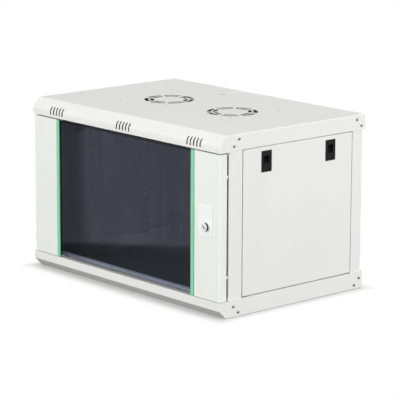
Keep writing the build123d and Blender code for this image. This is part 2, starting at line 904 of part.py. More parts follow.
def door_glass():
    """The toughened pane, a little shorter than the strips that carry it."""
    half = strip_inner_x - glass_edge_gap
    across_y = (at_setback(glass_setback), at_setback(glass_setback + glass_thickness))
    pane = block((-half, half), across_y, (glass_low, glass_high))
    return chamfer(pane.edges().filter_by(Axis.Z), glass_chamfer)


def glazing_tape():
    """The bonding tape between the glass and the flanges of the strips."""
    front = glass_setback + glass_thickness
    across = (strip_inner_x - glazing_flange, strip_inner_x - door_bend)
    setbacks = (at_setback(front), at_setback(front + tape_thickness))
    right = block(across, setbacks, (glass_low, glass_high))
    return [right, mirrored(right)]


def door_trim():
    """The coloured strip beside the glass on the right: an arched section."""
    outer = strip_inner_x - trim_gap
    inner = outer - trim_width
    foot = at_setback(glass_setback)
    shoulder = foot - trim_foot
    crest = foot - trim_thickness
    middle = (inner + outer) / 2
    outline = Polyline((inner, shoulder), (inner, foot), (outer, foot), (outer, shoulder))
    arch = ThreePointArc((outer, shoulder), (middle, crest), (inner, shoulder))
    section = make_face([outline.edges(), arch.edges()])
    return Pos(0, 0, door_low) * extrude(section, door_high - door_low)


def door_bumpers():
    """The two soft buttons on the right front post that the door closes on."""
    length = lip_setback - door_back - bumper_clearance
    x = flange_inner_x - bumper_edge_distance
    middle = (door_low + door_high) / 2
    heights = (middle - bumper_spacing / 2, middle + bumper_spacing / 2)
    buttons = [rod(bumper_radius, (x, at_setback(lip_setback), z), (0, -1, 0), length) for z in heights]
    return [chamfer(b.faces().sort_by(Axis.Y)[0].edges(), bumper_chamfer) for b in buttons]


# Door hinge

def hinge_axis(z):
    """A point on the door's pivot line at this height."""
    return (hinge_x, at_setback(hinge_setback), z)


def hinge_pin():
    """The fixed lower pin, riveted through the shelf of the bottom bezel."""
    shelf_under = bottom_bezel_height - sheet
    head = rod(pin_head_radius, hinge_axis(shelf_under), (0, 0, -1), pin_head_height)
    shank = rod(pin_radius, hinge_axis(shelf_under), (0, 0, 1), sheet + pin_rise)
    return head + chamfer(shank.faces().sort_by(Axis.Z)[-1].edges(), pin_chamfer)


def hinge_washer():
    """The washer on the lower pin that carries the door's weight."""
    ring = Circle(hinge_washer_radius) - Circle(pin_radius + pin_play)
    centre = hinge_axis(bottom_bezel_height)
    return Pos(*centre) * extrude(ring, door_bottom_gap - hinge_washer_play)


def hinge_bolt():
    """The sprung upper bolt: a bent rod with a handle and a turned collar."""
    top = case_height - top_bezel_height + bolt_rise
    x, y, low = hinge_axis(top - bolt_length)
    path = FilletPolyline((x, y, top), (x, y, low), (x + bolt_handle, y, low), radius=bolt_bend)
    bent = sweep(Plane((x, y, top), z_dir=(0, 0, -1)) * Circle(pin_radius), path=path)
    collar_low = hinge_axis(top - collar_drop - collar_height)
    return bent + rod(collar_radius, collar_low, (0, 0, 1), collar_height)


def bolt_bracket():
    """The folded bracket on the back of the strip's face, with two lugs that guide the bolt."""
    top = case_height - top_bezel_height + bolt_rise
    face = at_setback(door_inset + door_sheet)
    upper = top - collar_drop + lug_clearance
    lower = top - lower_lug_drop
    edge = -door_x + door_bend
    across = (edge, edge + lug_width)
    bracket = block(across, (face, face + lug_sheet), (lower, upper + lug_sheet))
    for level in (lower, upper):
        bracket += block(across, (face, face + lug_depth), (level, level + lug_sheet))
    corners = bracket.edges().filter_by(Axis.Z).group_by(Axis.Y)[-1]
    bracket = fillet(corners, lug_corner_radius)
    length = upper + lug_sheet - lower + 2 * past
    return bracket - rod(pin_radius + pin_play, hinge_axis(lower - past), (0, 0, 1), length)


def bolt_spring():
    """The compression spring between the lower lug and the collar."""
    top = case_height - top_bezel_height + bolt_rise
    low = top - lower_lug_drop + lug_sheet + spring_wire
    high = top - collar_drop - collar_height - spring_wire
    coil = Helix(pitch=(high - low) / spring_coils, height=high - low, radius=spring_radius)
    wire = Plane(coil @ 0, z_dir=coil % 0) * Circle(spring_wire)
    return Pos(*hinge_axis(low)) * sweep(wire, path=coil, is_frenet=True)


# Cam lock

def lock_axis(setback):
    """A point on the lock's turning line at this setback."""
    return (lock_x, at_setback(setback), lock_z)


def lock_plate():
    """The plain plate around the lock."""
    outline = RectangleRounded(plate_width, plate_height, plate_corner_radius)
    x, y, z = lock_axis(door_inset)
    face = Plane((x - plate_shift, y, z + plate_rise), x_dir=(1, 0, 0), z_dir=(0, -1, 0))
    plate = extrude(face * outline, plate_thickness)
    plate = chamfer(plate.faces().sort_by(Axis.Y)[0].edges(), plate_chamfer)
    length = plate_thickness + 2 * past
    return plate - rod(barrel_radius + barrel_fit, (x, y + past, z), (0, -1, 0), length)


def lock_body():
    """The lock's fixed barrel with its front flange."""
    flange_back = door_inset - plate_thickness
    flange = rod(lock_flange_radius, lock_axis(flange_back), (0, -1, 0), lock_flange_height)
    flange = chamfer(flange.faces().sort_by(Axis.Y)[0].edges(), plate_chamfer)
    barrel = rod(barrel_radius, lock_axis(flange_back), (0, 1, 0), barrel_end_setback - flange_back)
    start = flange_back - lock_flange_height - past
    length = barrel_end_setback + past - start
    return flange + barrel - rod(plug_radius + plug_play, lock_axis(start), (0, 1, 0), length)


def lock_nut():
    """The nut that clamps the lock on the back of the strip."""
    seat = lock_axis(door_inset + door_sheet)
    across = lock_nut_across_flats
    return hex_nut(seat, (0, 1, 0), across, lock_nut_height, barrel_radius + barrel_fit)


def lock_plug():
    """The turning plug: head with keyway, shaft, and the square that drives the cam."""
    head_back = door_inset - plate_thickness - lock_flange_height - plug_head_gap
    head = rod(plug_head_radius, lock_axis(head_back), (0, -1, 0), plug_head_height)
    head = chamfer(head.faces().sort_by(Axis.Y)[0].edges(), plug_chamfer)
    cam_front = cam_setback()
    shaft = rod(plug_radius, lock_axis(head_back), (0, 1, 0), cam_front - head_back)
    x, y, z = lock_axis(cam_front)
    half = cam_square / 2 - plug_play
    square = block((x - half, x + half), (y, y + cam_thickness), (z - half, z + half))
    face = Plane(lock_axis(head_back - plug_head_height), x_dir=(1, 0, 0), z_dir=(0, -1, 0))
    keyway = Rot(0, 0, 90 + keyway_slant) * SlotOverall(keyway_length, keyway_width)
    return head + shaft + square - extrude(face * keyway, -keyway_depth)


def cam_setback():
    """Setback of the cam's front face, just behind the face of the front post."""
    return lip_setback + post_sheet + cam_clearance


def lock_cam():
    """The cam, hanging down while the lock is open."""
    outline = RectangleRounded(cam_width, cam_reach + cam_width / 2, cam_corner_radius)
    x, y, z = lock_axis(cam_setback())
    drop = (cam_reach - cam_width / 2) / 2
    face = Plane((x, y, z - drop), x_dir=(1, 0, 0), z_dir=(0, -1, 0))
    cam = extrude(face * outline, -cam_thickness)
    half = cam_square / 2
    through = (y - past, y + cam_thickness + past)
    return cam - block((x - half, x + half), through, (z - half, z + half))


def cam_screw():
    """The screw that holds the cam on the plug."""
    head = rod(cam_screw_radius, lock_axis(cam_setback() + cam_thickness), (0, 1, 0), cam_screw_height)
    return chamfer(head.faces().sort_by(Axis.Y)[-1].edges(), plate_chamfer)


# Every piece under its node name

def build():
    """All the nodes of the cabinet, by name."""
    nodes = {
        "top_panel": top_panel(),
        "bottom_panel": bottom_panel(),
        "front_post_right": front_post(),
        "front_post_left": mirrored(front_post()),
        "rear_post_right": rear_post(),
        "rear_post_left": mirrored(rear_post()),
        "rear_panel": rear_panel(),
        "rear_panel_screws": rear_panel_screws(),
        "cable_cover_bottom": cable_cover(),
        "cable_cover_top": over(cable_cover()),
        "cable_cover_screws": cable_cover_screws() + [over(s) for s in cable_cover_screws()],
        "earth_stud": earth_stud(),
        "door_strip_left": left_strip(),
        "door_strip_right": right_strip(),
        "door_glass": door_glass(),
        "glazing_tape": glazing_tape(),
        "door_trim_right": door_trim(),
        "door_trim_left": mirrored(door_trim()),
        "door_bumpers": door_bumpers(),
        "hinge_pin": hinge_pin(),
        "hinge_washer": hinge_washer(),
        "hinge_bolt": hinge_bolt(),
        "hinge_bolt_bracket": bolt_bracket(),
        "hinge_bolt_spring": bolt_spring(),
        "lock_plate": lock_plate(),
        "lock_body": lock_body(),
        "lock_nut": lock_nut(),
        "lock_plug": lock_plug(),
        "lock_cam": lock_cam(),
        "lock_cam_screw": cam_screw(),
    }
    screws = corner_screws()
    nodes["corner_screws_right"] = screws
    nodes["corner_screws_left"] = [mirrored(screw) for screw in screws]
    for level_name, level in zip(("lower", "upper"), bracket_levels):
        bracket = depth_bracket(level)
        nodes[f"depth_bracket_{level_name}_right"] = bracket
        nodes[f"depth_bracket_{level_name}_left"] = mirrored(bracket)
    for end_name, face, inward in (
        ("front", front_rail_setback, 1),
        ("rear", case_depth - rear_rail_gap, -1),
    ):
        one_rail = rail(face, inward)
        bolts = rail_bolts(face, inward)
        nodes[f"rail_{end_name}_right"] = one_rail
        nodes[f"rail_{end_name}_left"] = mirrored(one_rail)
        nodes[f"rail_bolts_{end_name}_right"] = bolts
        nodes[f"rail_bolts_{end_name}_left"] = [mirrored(bolt) for bolt in bolts]
    panel = side_panel()
    nodes["side_panel_right"] = panel
    nodes["side_panel_left"] = mirrored(panel)
    for end_name, y in zip(("front", "rear"), latch_places()):
        housing = latch_housing(y)
        slide = latch_slide(y)
        nodes[f"latch_housing_{end_name}_right"] = housing
        nodes[f"latch_housing_{end_name}_left"] = mirrored(housing)
        nodes[f"latch_slide_{end_name}_right"] = slide
        nodes[f"latch_slide_{end_name}_left"] = mirrored(slide)
    return nodes


os.makedirs("parts", exist_ok=True)
for name, shape in build().items():
    solid = Compound(children=shape) if isinstance(shape, list) else shape
    export_step(solid, f"parts/{name}.step")
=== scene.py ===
import math

import bmesh
import bpy
from mathutils import Matrix, Vector


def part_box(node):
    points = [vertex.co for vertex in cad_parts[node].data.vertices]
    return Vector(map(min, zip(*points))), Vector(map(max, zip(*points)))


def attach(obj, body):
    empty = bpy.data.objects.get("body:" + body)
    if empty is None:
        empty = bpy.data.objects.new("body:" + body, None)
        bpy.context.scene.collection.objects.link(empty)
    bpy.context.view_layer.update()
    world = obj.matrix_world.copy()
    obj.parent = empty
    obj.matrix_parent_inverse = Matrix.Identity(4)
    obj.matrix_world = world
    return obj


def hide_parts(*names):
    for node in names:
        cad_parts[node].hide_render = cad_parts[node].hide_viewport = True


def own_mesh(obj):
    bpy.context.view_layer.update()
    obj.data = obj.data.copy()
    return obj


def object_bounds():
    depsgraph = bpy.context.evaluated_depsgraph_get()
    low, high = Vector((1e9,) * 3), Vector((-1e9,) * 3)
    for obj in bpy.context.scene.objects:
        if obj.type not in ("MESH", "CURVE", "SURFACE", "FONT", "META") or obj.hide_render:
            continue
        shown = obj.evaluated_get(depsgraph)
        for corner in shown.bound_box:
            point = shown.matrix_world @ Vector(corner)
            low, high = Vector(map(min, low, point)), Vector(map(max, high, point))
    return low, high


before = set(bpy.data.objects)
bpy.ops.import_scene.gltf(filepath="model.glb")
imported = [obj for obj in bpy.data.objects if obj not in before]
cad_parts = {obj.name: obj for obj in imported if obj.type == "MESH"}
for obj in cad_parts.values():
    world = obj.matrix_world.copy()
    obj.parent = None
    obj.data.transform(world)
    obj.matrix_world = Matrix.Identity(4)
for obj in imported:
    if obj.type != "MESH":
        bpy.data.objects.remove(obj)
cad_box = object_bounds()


# Studio. The cabinet stands on a wide pale floor in a white room. Large soft lamps light it
# from the front, its right, behind at its left and, weakly, from above, and the camera has
# the photograph's viewing angle.

camera_place = (3.42181, -3.01810, 1.16224)
camera_azimuth, camera_elevation, camera_roll = 48.47, 12.31, 0.21
focal_pixels, frame_pixels, sensor_width = 2202.75, 400, 36.0

camera = bpy.data.objects.new("camera", bpy.data.cameras.new("camera"))
camera.data.sensor_width = sensor_width
camera.data.lens = focal_pixels * sensor_width / frame_pixels
camera.data.clip_end = 100
camera.matrix_world = (
    Matrix.Translation(camera_place)
    @ Matrix.Rotation(math.radians(camera_azimuth), 4, "Z")
    @ Matrix.Rotation(math.radians(90 - camera_elevation), 4, "X")
    @ Matrix.Rotation(math.radians(camera_roll), 4, "Z")
)
bpy.context.scene.collection.objects.link(camera)
bpy.context.scene.camera = camera
bpy.context.scene.view_settings.view_transform = "Standard"


def put(tree, kind, sockets=None, **settings):
    """Adds a node. A socket takes a value or another node's output, by name or number."""
    made = tree.nodes.new(kind)
    for name, value in settings.items():
        setattr(made, name, value)
    for name, value in (sockets or {}).items():
        if isinstance(value, bpy.types.NodeSocket):
            tree.links.new(value, made.inputs[name])
        else:
            made.inputs[name].default_value = value
    return made


def reckon(tree, operation, first, second=0.0, third=0.0):
    """One Math node's result."""
    sockets = {0: first, 1: second, 2: third}
    return put(tree, "ShaderNodeMath", sockets, operation=operation).outputs[0]


def blend_colours(tree, share, first, second):
    """A colour between two others."""
    mix = put(tree, "ShaderNodeMix", {0: share, 6: first, 7: second}, data_type="RGBA")
    return mix.outputs[2]


def ramp(tree, value, start, stop, lowest=0.0, kind="LINEAR"):
    """Goes from the lowest share to 1 while a value goes from its start to its stop."""
    made = put(tree, "ShaderNodeMapRange", {
        "Value": value, "From Min": start, "From Max": stop, "To Min": lowest},
        interpolation_type=kind)
    return made.outputs["Result"]


def share_indoors(tree, rays):
    """1 for light that has come in through the glass and met something inside, else 0."""
    bounced = reckon(tree, "GREATER_THAN", rays.outputs["Ray Depth"], 2.5)
    return reckon(tree, "MULTIPLY", bounced, rays.outputs["Is Transmission Ray"])


# The room is seen white, lights the cabinet at less than half of that, and loses nearly all
# of this light again where it has come in through the glass
room_light, room_seen, kept_out = 0.42, 1.0, 0.41
room_colour, mirrored_room = (1, 1, 1, 1), (0.85, 0.85, 0.85, 1)
world = bpy.data.worlds.new("white_room")
world.use_nodes = True
bpy.context.scene.world = world
tree = world.node_tree
rays = put(tree, "ShaderNodeLightPath")
seen = reckon(tree, "MAXIMUM", rays.outputs["Is Camera Ray"], rays.outputs["Is Glossy Ray"])
strength = reckon(tree, "MULTIPLY_ADD", seen, room_seen - room_light, room_light)
dimmed = reckon(tree, "MULTIPLY", share_indoors(tree, rays), kept_out)
strength = reckon(tree, "SUBTRACT", strength, dimmed)
walls = blend_colours(tree, rays.outputs["Is Glossy Ray"], room_colour, mirrored_room)
tree.links.new(walls, tree.nodes["Background"].inputs["Color"])
tree.links.new(strength, tree.nodes["Background"].inputs["Strength"])


def soft_lamp(name, place, size, power, mirrored=False):
    """A square area lamp that looks at the cabinet, mirrored by glossy surfaces or not."""
    lamp = bpy.data.lights.new(name, "AREA")
    lamp.size = size
    lamp.energy = power
    holder = bpy.data.objects.new(name, lamp)
    holder.location = place
    holder.visible_transmission = False
    holder.visible_glossy = mirrored
    gaze = Vector(lamp_target) - Vector(place)
    holder.rotation_euler = gaze.to_track_quat("-Z", "Y").to_euler()
    bpy.context.scene.collection.objects.link(holder)


# Mirrored at a grazing angle, the lamps round the sides would turn the top pure white
lamp_target = (0, 0, 0.2)
soft_lamp("front_lamp", (0.3, -3.6, 1.1), 2.8, 137)
soft_lamp("side_lamp", (3.8, 0.8, 1.0), 2.8, 146)
soft_lamp("top_lamp", (0.2, 1.2, 3.2), 2.6, 8, mirrored=True)
soft_lamp("rear_lamp", (-2.6, 2.8, 1.3), 2.8, 64)


def slanted(tree, across, along, across_share, along_share):
    """How far a point of the floor lies along a slanting direction."""
    return reckon(tree, "MULTIPLY_ADD", across, across_share,
                  reckon(tree, "MULTIPLY", along, along_share))


floor_mesh = bpy.data.meshes.new("floor")
reach = 14.0
corners = [(-reach, -reach, 0), (reach, -reach, 0), (reach, reach, 0), (-reach, reach, 0)]
floor_mesh.from_pydata(corners, [], [(0, 1, 2, 3)])
floor = bpy.data.objects.new("floor", floor_mesh)
bpy.context.scene.collection.objects.link(floor)
paper = bpy.data.materials.new("studio_paper")
paper.use_nodes = True
tree = paper.node_tree
skin = tree.nodes["Principled BSDF"]
skin.inputs["Roughness"].default_value = 0.7
place = put(tree, "ShaderNodeTexCoord").outputs["Object"]
cloud = put(tree, "ShaderNodeTexNoise", {"Vector": place, "Scale": 2.0}).outputs["Fac"]
white = blend_colours(tree, cloud, (0.76, 0.76, 0.755, 1), (0.80, 0.80, 0.795, 1))
rays = put(tree, "ShaderNodeLightPath")
bounced = blend_colours(tree, share_indoors(tree, rays),
                        (0.03, 0.03, 0.03, 1), (0.02, 0.02, 0.02, 1))
tree.links.new(blend_colours(tree, rays.outputs["Is Camera Ray"], bounced, white),
               skin.inputs["Base Color"])
across, along, _ = put(tree, "ShaderNodeSeparateXYZ", {0: place}).outputs

# The shadow is kept close round the case, and past it the paper is pure white
half_width, half_depth = 0.30, 0.20
beside_end, ahead_start, ahead_end = 0.028, -0.015, 0.034
past_side = reckon(tree, "SUBTRACT", reckon(tree, "ABSOLUTE", across), half_width)
past_end = reckon(tree, "SUBTRACT", reckon(tree, "ABSOLUTE", along), half_depth)
beside = ramp(tree, past_side, 0.0, beside_end, kind="SMOOTHSTEP")
ahead = ramp(tree, past_end, ahead_start, ahead_end, kind="SMOOTHSTEP")
far = reckon(tree, "MAXIMUM", beside, ahead)

# Painted reflection: glossy rays see a pattern painted on the floor, which the pane mirrors: a
# pale strip, a dark band, then the pale room, all with a painted shadow where the cabinet stands
# between them and the light
room_slant, room_start, room_full = (0.638, 0.770), -0.545, -0.585
strip_start, strip_full, strip_fade, strip_end = -0.326, -0.320, -0.272, -0.262
shade_slant, shade_full, shade_end, shade_depth = (0.6195, -0.785), 0.062, 0.090, 0.45
dark_band, pale_room = (0.12, 0.12, 0.12, 1), (0.63, 0.63, 0.63, 1)
pale_strip = (1.45, 1.45, 1.60, 1)
in_room = ramp(tree, slanted(tree, across, along, *room_slant), room_start, room_full)
in_strip = reckon(tree, "MULTIPLY", ramp(tree, along, strip_start, strip_full),
                  ramp(tree, along, strip_end, strip_fade))
clear_of_painted_shadow = ramp(tree, slanted(tree, across, along, *shade_slant), shade_full, shade_end, shade_depth)
mirrored = blend_colours(tree, in_room, dark_band, pale_room)
mirrored = blend_colours(tree, in_strip, mirrored, pale_strip)
mirrored = blend_colours(tree, clear_of_painted_shadow, (0, 0, 0, 1), mirrored)
glow_colour = blend_colours(tree, rays.outputs["Is Glossy Ray"], (1, 1, 1, 1), mirrored)
glow = put(tree, "ShaderNodeEmission", {"Color": glow_colour, "Strength": 1.0})
share = reckon(tree, "MULTIPLY", rays.outputs["Is Camera Ray"], far)
share = reckon(tree, "MAXIMUM", share, rays.outputs["Is Glossy Ray"])
sheet = put(tree, "ShaderNodeMixShader", {0: share, 1: skin.outputs[0], 2: glow.outputs[0]})
tree.links.new(sheet.outputs[0], tree.nodes["Material Output"].inputs["Surface"])
floor.data.materials.append(paper)


# Case shell. Top, bottom, posts, rear panel and covers are cut and folded steel sheet,
# coated with a light grey powder that dries to a fine orange peel, with a painted highlight on the
# edges.

def shared_group(name, inputs, outputs):
    """A shader node group with named sockets, and its two end nodes."""
    group = bpy.data.node_groups.new(name, "ShaderNodeTree")
    for label, kind, value in inputs:
        socket = group.interface.new_socket(label, in_out="INPUT", socket_type=kind)
        if value is not None:
            socket.default_value = value
    for label, kind in outputs:
        group.interface.new_socket(label, in_out="OUTPUT", socket_type=kind)
    return group, group.nodes.new("NodeGroupInput"), group.nodes.new("NodeGroupOutput")


grain_group, start, end = shared_group(
    "fine_grain",
    [
        ("Vector", "NodeSocketVector", None),
        ("Grains", "NodeSocketFloat", 900.0),
        ("Patches", "NodeSocketFloat", 7.0),
    ],
    [("Height", "NodeSocketFloat"), ("Patch", "NodeSocketFloat")],
)
fine = put(grain_group, "ShaderNodeTexNoise", {
    "Vector": start.outputs["Vector"], "Scale": start.outputs["Grains"], "Detail": 2.0})
wavy = put(grain_group, "ShaderNodeTexNoise", {
    "Vector": start.outputs["Vector"],
    "Scale": reckon(grain_group, "MULTIPLY", start.outputs["Grains"], 0.22), "Detail": 1.0})
height = reckon(grain_group, "MULTIPLY_ADD", wavy.outputs["Fac"], 0.6, fine.outputs["Fac"])
patch = put(grain_group, "ShaderNodeTexNoise", {
    "Vector": start.outputs["Vector"], "Scale": start.outputs["Patches"], "Detail": 5.0})
grain_group.links.new(height, end.inputs["Height"])
grain_group.links.new(patch.outputs["Fac"], end.inputs["Patch"])

# The mask of rounded edges, where each material paints another tone: mostly a lighter one as a
# highlight, on the covers a dark one as shade
painted_edge_group, start, end = shared_group(
    "painted_edge_mask",
    [
        ("Vector", "NodeSocketVector", None),
        ("Radius", "NodeSocketFloat", 0.0005),
        ("Breaks", "NodeSocketFloat", 160.0),
    ],
    [("Mask", "NodeSocketFloat"), ("Normal", "NodeSocketVector")],
)
rounded = put(painted_edge_group, "ShaderNodeBevel", {"Radius": start.outputs["Radius"]}, samples=6)
plain = put(painted_edge_group, "ShaderNodeNewGeometry").outputs["Normal"]
alike = put(painted_edge_group, "ShaderNodeVectorMath", {0: rounded.outputs["Normal"], 1: plain},
            operation="DOT_PRODUCT").outputs["Value"]
turned = ramp(painted_edge_group, alike, 0.995, 0.80)
breaks = put(painted_edge_group, "ShaderNodeTexNoise", {
    "Vector": start.outputs["Vector"], "Scale": start.outputs["Breaks"], "Detail": 3.0})
mask = reckon(painted_edge_group, "MULTIPLY", turned, ramp(painted_edge_group, breaks.outputs["Fac"], 0.30, 0.62))
painted_edge_group.links.new(mask, end.inputs["Mask"])
painted_edge_group.links.new(rounded.outputs["Normal"], end.inputs["Normal"])


def surface(name):
    """A new material with its tree, its Principled node and its object coordinates."""
    material = bpy.data.materials.new(name)
    material.use_nodes = True
    tree = material.node_tree
    place = put(tree, "ShaderNodeTexCoord").outputs["Object"]
    return material, tree, tree.nodes["Principled BSDF"], place


def grouped(tree, group, sockets):
    """A shared group placed in a material."""
    made = put(tree, "ShaderNodeGroup", node_tree=group)
    for name, value in sockets.items():
        if isinstance(value, bpy.types.NodeSocket):
            tree.links.new(value, made.inputs[name])
        else:
            made.inputs[name].default_value = value
    return made


def finish_skin(tree, skin, colour, roughness, height, strength, depth, normal=None):
    """Joins a colour, a roughness and a height map to the Principled node."""
    tree.links.new(colour, skin.inputs["Base Color"])
    tree.links.new(roughness, skin.inputs["Roughness"])
    bump = put(tree, "ShaderNodeBump", {"Height": height, "Strength": strength, "Distance": depth})
    if normal is not None:
        tree.links.new(normal, bump.inputs["Normal"])
    tree.links.new(bump.outputs["Normal"], skin.inputs["Normal"])


def powder_coat(name, colour, shade, painted_edge_colour, painted_edge_share=0.25):
    """Satin powder coat: grain, faint patches, and smoother edges painted in the edge colour: a
    highlight where it is light, shade where it is dark.
    """
    material, tree, skin, place = surface(name)
    grain = grouped(tree, grain_group, {"Vector": place, "Grains": 1100.0, "Patches": 6.0})
    edge = grouped(tree, painted_edge_group, {"Vector": place, "Radius": 0.0004, "Breaks": 120.0})
    paint = blend_colours(tree, ramp(tree, grain.outputs["Patch"], 0.3, 0.7), colour, shade)
    painted_edge_mix = reckon(tree, "MULTIPLY", edge.outputs["Mask"], painted_edge_share)
    paint = blend_colours(tree, painted_edge_mix, paint, painted_edge_colour)
    rough = reckon(tree, "MULTIPLY_ADD", grain.outputs["Patch"], 0.12, 0.46)
    rough = reckon(tree, "SUBTRACT", rough, reckon(tree, "MULTIPLY", edge.outputs["Mask"], 0.10))
    finish_skin(tree, skin, paint, rough, grain.outputs["Height"], 0.16, 0.00012,
                edge.outputs["Normal"])
    return material


def dress(material, *names):
    """Gives CAD nodes a material in place of their plain one."""
    for name in names:
        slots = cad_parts[name].data.materials
        slots.clear()
        slots.append(material)


case_grey, case_shade = (0.770, 0.772, 0.738, 1), (0.750, 0.755, 0.722, 1)
painted_highlight, painted_gap_shade = (0.86, 0.865, 0.84, 1), (0.10, 0.10, 0.10, 1)
case_paint = powder_coat("light_grey_powder", case_grey, case_shade, painted_highlight)
dress(case_paint, "bottom_panel", "rear_panel", "front_post_left", "front_post_right",
      "rear_post_left", "rear_post_right")

# Painted shade: the covers' edges are painted dark, for the shadow in the gap round each cover
cover_paint = powder_coat("cover_powder", case_grey, case_shade, painted_gap_shade, painted_edge_share=0.9)
dress(cover_paint, "cable_cover_top", "cable_cover_bottom")


def within(tree, *ranges):
    """1 where each value lies between its two limits, else 0. A limit may be None."""
    share = None
    for value, low, high in ranges:
        for operation, limit in (("GREATER_THAN", low), ("LESS_THAN", high)):
            if limit is not None:
                test = reckon(tree, operation, value, limit)
                share = test if share is None else reckon(tree, "MULTIPLY", share, test)
    return share


# Painted shade: the walls of the fan slots and of the vents are painted dark, for the shade inside
# them
top_paint = powder_coat("top_powder", case_grey, case_shade, painted_highlight)
slot_painted_shade, vent_painted_shade = (0.30, 0.30, 0.29, 1), (0.10, 0.10, 0.10, 1)
skin_depth, sheet_depth = 0.0002, 0.0011
fans_reach_across, fans_reach_along = 0.25, 0.15
vents_high, vents_low, vents_reach_across, vents_behind = 0.010, 0.032, 0.28, -0.15
tree = top_paint.node_tree
skin = tree.nodes["Principled BSDF"]
placing = put(tree, "ShaderNodeTexCoord")
across, along, rise = put(tree, "ShaderNodeSeparateXYZ", {0: placing.outputs["Object"]}).outputs
sideways = put(tree, "ShaderNodeSeparateXYZ", {0: placing.outputs["Normal"]}).outputs[0]
far_across, far_along = reckon(tree, "ABSOLUTE", across), reckon(tree, "ABSOLUTE", along)
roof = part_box("top_panel")[1].z
in_slot = within(tree, (rise, roof - sheet_depth, roof - skin_depth),
                 (far_along, None, fans_reach_along), (far_across, None, fans_reach_across))
in_vent = within(tree, (reckon(tree, "ABSOLUTE", sideways), 0.3, None),
                 (rise, roof - vents_low, roof - vents_high), (along, None, vents_behind),
                 (far_across, None, vents_reach_across))
coat = skin.inputs["Base Color"].links[0].from_socket
coat = blend_colours(tree, in_slot, coat, slot_painted_shade)
tree.links.new(blend_colours(tree, in_vent, coat, vent_painted_shade), skin.inputs["Base Color"])
dress(top_paint, "top_panel")


# Screws. Pan head screws with a cross recess hold the side flanges to the posts, the
# rear panel and the two cable covers. They are cold headed steel, bright zinc plated.

def new_piece(name, mesh, material, smooth_angle=math.radians(35)):
    """An object at the origin from a finished mesh, shaded smooth up to an angle."""
    piece = bpy.data.objects.new(name, mesh)
    bpy.context.scene.collection.objects.link(piece)
    if material is not None:
        mesh.materials.clear()
        mesh.materials.append(material)
    mesh.shade_smooth()
    mesh.set_sharp_from_angle(angle=smooth_angle)
    return piece


def turned_mesh(name, profile, steps):
    """A closed solid of revolution about Z from (radius, height) points, ends on the axis."""
    shell = bmesh.new()
    points = [shell.verts.new((radius, 0, height)) for radius, height in profile]
    edges = [shell.edges.new(pair) for pair in zip(points, points[1:])]
    bmesh.ops.spin(shell, geom=points + edges, cent=(0, 0, 0), axis=(0, 0, 1),
                   angle=2 * math.pi, steps=steps, use_merge=True)
    bmesh.ops.remove_doubles(shell, verts=shell.verts, dist=1e-7)
    bmesh.ops.recalc_face_normals(shell, faces=shell.faces)
    mesh = bpy.data.meshes.new(name)
    shell.to_mesh(mesh)
    shell.free()
    return mesh


def evaluated_mesh(piece):
    """The mesh that a piece has with its modifiers, as plain data."""
    graph = bpy.context.evaluated_depsgraph_get()
    graph.update()
    return bpy.data.meshes.new_from_object(piece.evaluated_get(graph), depsgraph=graph)


def with_recess(mesh, cutters, name):
    """The mesh with the cutters taken out of it."""
    body = new_piece(name + "_body", mesh, None)
    tools = [new_piece(f"{name}_tool_{index}", cutter, None)
             for index, cutter in enumerate(cutters)]
    for tool in tools:
        cut = body.modifiers.new("cut", "BOOLEAN")
        cut.object = tool
        cut.operation = "DIFFERENCE"
        cut.solver = "EXACT"
    made = evaluated_mesh(body)
    for used in [body, *tools]:
        bpy.data.objects.remove(used)
    made.name = name
    return made


def cross_recess(length, width, depth, top, narrow=0.7):
    """The two bars of a cross recess, each narrower at its floor."""
    shell = bmesh.new()
    square = ((-0.5, -0.5), (0.5, -0.5), (0.5, 0.5), (-0.5, 0.5))
    low = [shell.verts.new((x * length * narrow, y * width * narrow, top - depth))
           for x, y in square]
    high = [shell.verts.new((x * length, y * width, top + depth)) for x, y in square]
    shell.faces.new(low[::-1])
    shell.faces.new(high)
    for a in range(4):
        b = (a + 1) % 4
        shell.faces.new((low[a], low[b], high[b], high[a]))
    bar = bpy.data.meshes.new("recess_bar")
    shell.to_mesh(bar)
    shell.free()
    cross_bar = bar.copy()
    cross_bar.transform(Matrix.Rotation(math.pi / 2, 4, "Z"))
    return [bar, cross_bar]


def round_head(radius, height, flat, steps, rim, seat, shank):
    """A domed head's profile, top to shank. The dome starts above a flat share of its height."""
    turns = [step * math.pi / 2 / steps for step in range(1, steps + 1)]
    dome = [(radius * math.sin(turn), height * (flat + (1 - flat) * math.cos(turn)))
            for turn in turns]
    return [(0, height), *dome, (radius, rim), (radius * seat, 0), (shank, 0)]


def thread_profile(radius, top, length, pitch):
    """The ridges of a thread, from the top of a shank to its end on the axis."""
    ridges = []
    for turn in range(int(length / pitch)):
        height = top - turn * pitch
        ridges.append((radius, height - 0.15 * pitch))
        ridges.append((radius, height - 0.30 * pitch))
        ridges.append((radius * 0.86, height - 0.70 * pitch))
        ridges.append((radius * 0.86, height - 0.85 * pitch))
    return ridges + [(radius * 0.6, top - length), (0, top - length)]


head_radius, head_height, shank_radius = 0.0033, 0.0018, 0.00195
shank_length, shank_pitch = 0.0078, 0.0008
head_profile = round_head(head_radius, head_height, 0.34, 8, 0.0001, 0.97, shank_radius)
screw_mesh = turned_mesh(
    "pan_head_screw",
    head_profile + thread_profile(shank_radius, 0, shank_length, shank_pitch), 28)
head_recess = cross_recess(0.0034, 0.0008, 0.0011, head_height)
screw_mesh = with_recess(screw_mesh, head_recess, "pan_head_screw")


